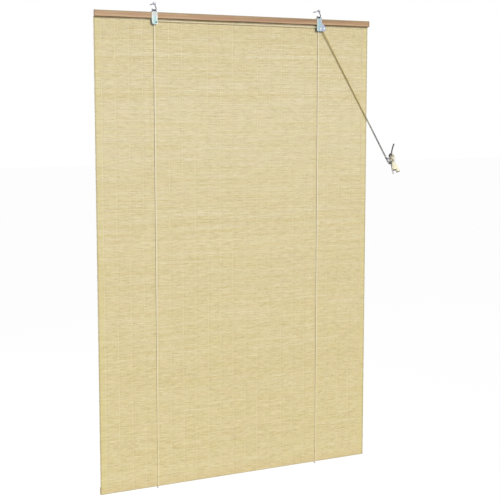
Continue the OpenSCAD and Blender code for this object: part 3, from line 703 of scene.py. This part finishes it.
def warp_piece(name, grooves, front):
    """Threads that go over every reed and dip into every groove."""
    z = np.empty(2 * len(grooves) - 1)
    z[0::2] = grooves
    z[1::2] = (grooves[:-1] + grooves[1:]) / 2
    over = MAT_FRONT - WARP_PROUD if front else MAT_BACK - WARP_SUNK
    dip = MAT_FRONT + WARP_DIP if front else MAT_BACK - WARP_DIP
    order = np.arange(len(z))
    y = np.where(order % 2 == 1, over, dip)
    lean = np.where(order % 4 < 2, WARP_LEAN, -WARP_LEAN)
    angle = angles(WARP_SIDES) + np.pi / WARP_SIDES
    verts = []
    faces = []
    for k in range(WARP_COUNT):
        x = WARP_FIRST + k * WARP_SPAN / (WARP_COUNT - 1)
        sway = 0.5 * MM * ripple(z, 7) + 0.3 * MM * ripple(z, 19)
        ring = np.zeros((len(z), WARP_SIDES, 3))
        ring[:, :, 0] = (x + sway + lean)[:, None] + WARP_HALF_X * np.cos(angle)[None, :]
        ring[:, :, 1] = y[:, None] + WARP_HALF_Y * np.sin(angle)[None, :]
        ring[:, :, 2] = z[:, None]
        faces.extend(tube_faces(len(z), WARP_SIDES, k * len(z) * WARP_SIDES))
        verts.append(ring.reshape(-1, 3))
    return add_mesh(name, np.concatenate(verts), faces)


reeds, reed_grooves = mat_piece()
dress(reeds, BAMBOO, replaces=["reed_mat"])
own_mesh(reeds)
for warp_name, in_front in (("warp_front", True), ("warp_back", False)):
    warp = warp_piece(warp_name, reed_grooves, in_front)
    dress(warp, THREAD)
    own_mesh(warp)

# The cords, their knots and the tassels

KNOT_SIZE = 0.72 * MM
KNOT_CORD_R = 1.0 * MM
KNOT_POINTS = 72
BACK_KNOTS_X = (-0.316, 0.284)
BACK_KNOTS_Y = -8.2 * MM
BACK_KNOTS_Z = -34.6 * MM
BELL_SIDES = 40
# outline of a bell of 15 by 31 mm: bore, collar, body, a turned ring at the mouth, the cup
BELL = [
    (1.35, 31), (2.9, 31), (3.3, 30.6), (3.6, 29.4), (3.55, 28.3), (3.2, 27.6), (3.25, 27.1), (3.9, 26.5),
    (4.6, 24.8), (5.1, 22), (5.6, 18.9), (6.05, 15.8), (6.5, 13), (7.0, 10.6), (7.4, 9), (7.5, 7.6),
    (7.5, 4.6), (7.25, 4.3), (7.25, 3.8), (7.5, 3.5), (7.5, 0.8), (7.3, 0.2), (6.9, 0), (6.2, 0),
    (5.95, 0.3), (5.9, 4.65), (1.35, 9.3),
]
# the last bands of the outline, from the rim inwards, are painted shade inside the cup
SHADED_BANDS = 7
CUP_DEPTH = 9.3 * MM
KNOT_BELOW = 2.2 * MM


def trefoil(name, centre, faces_front):
    """A tight overhand knot. faces_front says that it is seen flat from the front, not from above."""
    turn = angles(KNOT_POINTS)
    sideways = np.sin(turn) + 2 * np.sin(2 * turn)
    forward = np.cos(turn) - 2 * np.cos(2 * turn)
    points = np.stack([sideways, forward, -np.sin(3 * turn)], 1) * KNOT_SIZE
    if faces_front:
        points = points[:, [0, 2, 1]]
    path = np.array(centre) + np.concatenate([points, points[:1]])
    return add_mesh(name, sweep(path, KNOT_CORD_R, CORD_SIDES), tube_faces(len(path), CORD_SIDES))


for side, x, front, back in (("left", -300, LEFT_FRONT, LEFT_BACK), ("right", 300, RIGHT_FRONT, RIGHT_BACK)):
    for where, route in (("front", front), ("back", back)):
        run, _ = twisted_cord(f"{side}_{where}_run", route)
        dress(run, CORD, replaces=[f"{side}_{where}_cord"])
        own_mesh(run)
    loop, _ = twisted_cord(f"{side}_loop", [(x, y, z) for y, z in LOOP])
    dress(loop, CORD, "bottom", [f"{side}_bottom_loop"])

for i, x in enumerate(BACK_KNOTS_X):
    knot = trefoil(f"back_knot_{i}", (x, BACK_KNOTS_Y, BACK_KNOTS_Z), faces_front=True)
    dress(knot, CORD, replaces=["back_knots"])

outline = [(radius * MM, height * MM) for radius, height in BELL]
first_shaded = (len(BELL) - SHADED_BANDS) * BELL_SIDES
for side, held, loose in (("left", LEFT_HELD, LEFT_FREE), ("right", RIGHT_HELD, RIGHT_FREE)):
    run, _ = twisted_cord(f"{side}_head_run", held)
    dress(run, CORD, replaces=[f"{side}_pull_cord"])
    pull, path = twisted_cord(f"{side}_pull", loose)
    dress(pull, PULL, replaces=[f"{side}_pull_cord"])
    end = np.array(loose[-1]) * MM
    up = unit((np.array(loose[-2]) - np.array(loose[-1])) * MM)
    bell = lathe(f"{side}_bell", outline, BELL_SIDES, end - CUP_DEPTH * up, up)
    dress(bell, CREAM, replaces=[f"{side}_tassel"])
    # painted shade inside the cup
    bell.data.materials.append(CUP_SHADE)
    dark = [int(k >= first_shaded) for k in range(len(bell.data.polygons))]
    bell.data.polygons.foreach_set("material_index", dark)
    knot = trefoil(f"{side}_pull_knot", end - KNOT_BELOW * up, faces_front=False)
    dress(knot, CORD, replaces=["tassel_knots"])

# The screws through the hooks

SCREW_SIDES = 20
SCREW_HEAD_R = 4.4 * MM
SCREW_HEAD_Y = -23.9 * MM
SCREW_SEAT_Y = -21.5 * MM
SCREW_THREAD_Y = -1.2 * MM
SCREW_POINT_Y = 21.6 * MM
SCREW_TIP_Y = 27 * MM
SCREW_R = 2.0 * MM
SCREW_PITCH = 1.7 * MM
STEPS_PER_TURN = 6
# shares of the screw's radius
PLAIN_SHANK = 0.9
THREAD_DEPTH = 0.24
POINT_LEAST = 0.05
TIP_FLAT = 0.04
# shares of the head's radius and of its height, from its middle to its seat
SCREW_DOME = [(0.0, 0.0), (0.45, 0.02), (0.75, 0.14), (0.93, 0.38), (1.0, 0.7), (1.0, 1.0)]


def wall_screw(name, x):
    """A pan-head wood screw along +Y, with a plain shank in front of the wall and a thread in it."""
    head = SCREW_SEAT_Y - SCREW_HEAD_Y
    # rings of (radius, y, depth of the thread)
    rings = [(max(SCREW_HEAD_R * out, TINY_R), SCREW_HEAD_Y + head * back, 0.0) for out, back in SCREW_DOME]
    y = SCREW_SEAT_Y
    while y < SCREW_TIP_Y - 0.2 * MM:
        if y < SCREW_THREAD_Y:
            rings.append((PLAIN_SHANK * SCREW_R, y, 0.0))
        else:
            taper = max(POINT_LEAST, (SCREW_TIP_Y - y) / (SCREW_TIP_Y - SCREW_POINT_Y))
            rings.append((SCREW_R * min(1.0, taper), y, THREAD_DEPTH * SCREW_R))
        y += SCREW_PITCH / STEPS_PER_TURN
    rings.append((TIP_FLAT * SCREW_R, SCREW_TIP_Y, 0.0))
    angle = angles(SCREW_SIDES)
    verts = []
    for radius, y, depth in rings:
        turn = np.mod(y / SCREW_PITCH - angle / (2 * np.pi), 1.0)
        cut = depth * np.clip(1.6 * np.abs(turn - 0.5) * 2 - 0.3, 0, 1)
        radii = np.maximum(radius - cut * (radius / SCREW_R), TINY_R)
        points = [x + radii * np.cos(angle), np.full(SCREW_SIDES, y), -radii * np.sin(angle)]
        verts.append(np.stack(points, 1))
    return add_mesh(name, np.concatenate(verts), tube_faces(len(rings), SCREW_SIDES))


for side, x in (("left", -HOOK_X), ("right", HOOK_X)):
    screw = wall_screw(f"{side}_screw", x)
    dress(screw, SCREW, replaces=[f"{side}_hook_screw"])

# CAD nodes that stay

KEPT = {
    "head_rail": RAIL_WOOD,
    "bottom_batten": BATTEN_WOOD,
    "mat_staples": STAPLE,
    "cord_staples": STAPLE,
    "left_bracket": ZINC,
    "right_bracket": ZINC,
    "left_pulley": PULLEY,
    "cross_pulley": PULLEY,
    "lift_pulley": PULLEY,
    "left_axle": SHADED_RIVET,
    "right_axle": HIGHLIT_RIVET,
    "cam_pin": HIGHLIT_RIVET,
    "lock_cam": CAM,
    "left_hook": WIRE,
    "right_hook": WIRE,
    "cleat": PAINT,
}
for name, material in KEPT.items():
    paint(nodes[name], material)

# The studio

FLOOR_Z = -2.75
FLOOR_REACH = 40.0
FLOOR_GLOW = 1.075
FLOOR_GLOW_SHARE = 0.86
AMBIENT = 0.22
SENSOR_MM = 36.0
PHOTO_PX = 500.0


def stage_floor():
    """Pale paper that takes shadows, and that the camera sees as nearly white."""
    corners = [(x * FLOOR_REACH, y * FLOOR_REACH, FLOOR_Z) for x, y in ((-1, -1), (1, -1), (1, 1), (-1, 1))]
    floor = add_mesh("studio_floor", corners, [(0, 1, 2, 3)], smooth=False)
    look = Shader("floor_paper", Roughness=0.9, Specular_IOR_Level=0.0)
    speck = look.noise(look.coords((3, 3, 3)), 2.0)
    look.base(look.mix(look.rise(speck, 0.0, 1.0), (0.84, 0.84, 0.83), (0.87, 0.87, 0.86)))
    ray = look.node("ShaderNodeLightPath").outputs
    seen = look.either(look.either(ray["Is Camera Ray"], ray["Is Glossy Ray"]), ray["Is Transmission Ray"])
    glow = look.node("ShaderNodeEmission", {"Color": (1, 1, 1, 1), "Strength": FLOOR_GLOW})
    blend = look.node("ShaderNodeMixShader", {0: look.both(seen, FLOOR_GLOW_SHARE)})
    look.put(look.bsdf.outputs[0], blend.inputs[1])
    look.put(glow.outputs[0], blend.inputs[2])
    look.put(blend.outputs[0], look.tree.nodes["Material Output"].inputs["Surface"])
    paint(floor, look.mat)


def stage_world():
    """Even soft light on the object, and plain white where the camera or a reflection sees past it."""
    world = bpy.data.worlds.new("studio")
    bpy.context.scene.world = world
    world.use_nodes = True
    tree = world.node_tree
    tree.nodes.clear()
    ambient = tree.nodes.new("ShaderNodeBackground")
    ambient.inputs["Color"].default_value = (1, 1, 1, 1)
    ambient.inputs["Strength"].default_value = AMBIENT
    white = tree.nodes.new("ShaderNodeBackground")
    white.inputs["Color"].default_value = (1, 1, 1, 1)
    white.inputs["Strength"].default_value = 1.0
    path = tree.nodes.new("ShaderNodeLightPath")
    seen = path.outputs["Is Camera Ray"]
    for ray in ("Is Glossy Ray", "Is Transmission Ray"):
        either = tree.nodes.new("ShaderNodeMath")
        either.operation = "MAXIMUM"
        tree.links.new(seen, either.inputs[0])
        tree.links.new(path.outputs[ray], either.inputs[1])
        seen = either.outputs[0]
    mix = tree.nodes.new("ShaderNodeMixShader")
    tree.links.new(seen, mix.inputs[0])
    tree.links.new(ambient.outputs[0], mix.inputs[1])
    tree.links.new(white.outputs[0], mix.inputs[2])
    out = tree.nodes.new("ShaderNodeOutputWorld")
    tree.links.new(mix.outputs[0], out.inputs["Surface"])


def area_light(name, location, target, size, power):
    light = bpy.data.lights.new(name, "AREA")
    light.shape = "DISK"
    light.size = size
    light.energy = power
    lamp = bpy.data.objects.new(name, light)
    lamp.location = location
    lamp.rotation_euler = (Vector(target) - Vector(location)).to_track_quat("-Z", "Y").to_euler()
    bpy.context.scene.collection.objects.link(lamp)


def sun(name, towards, strength, angle):
    light = bpy.data.lights.new(name, "SUN")
    light.energy = strength
    light.angle = math.radians(angle)
    lamp = bpy.data.objects.new(name, light)
    lamp.rotation_euler = Vector(towards).to_track_quat("Z", "Y").to_euler()
    bpy.context.scene.collection.objects.link(lamp)


def camera(location, yaw, pitch, focal_px, shift_y):
    """A level camera. yaw and pitch are in degrees, and focal_px is in pixels of the photograph."""
    lens = bpy.data.cameras.new("camera")
    lens.sensor_width = SENSOR_MM
    lens.lens = SENSOR_MM * focal_px / PHOTO_PX
    lens.shift_y = shift_y
    lens.clip_end = 200.0
    eye = bpy.data.objects.new("camera", lens)
    eye.location = location
    eye.rotation_euler = (math.radians(90 - pitch), 0.0, math.radians(-yaw))
    bpy.context.scene.collection.objects.link(eye)
    bpy.context.scene.camera = eye


stage_floor()
stage_world()
sun("key", towards=(0.18, -1.0, 0.36), strength=2.37, angle=4.0)
area_light("back", location=(-2.5, 4.5, 1.2), target=(0.0, 0.0, -0.8), size=3.0, power=190.0)
camera((-1.2193, -3.0166, -0.3592), yaw=22.774, pitch=5.497, focal_px=943.23, shift_y=-0.09)
bpy.context.scene.view_settings.view_transform = "Standard"
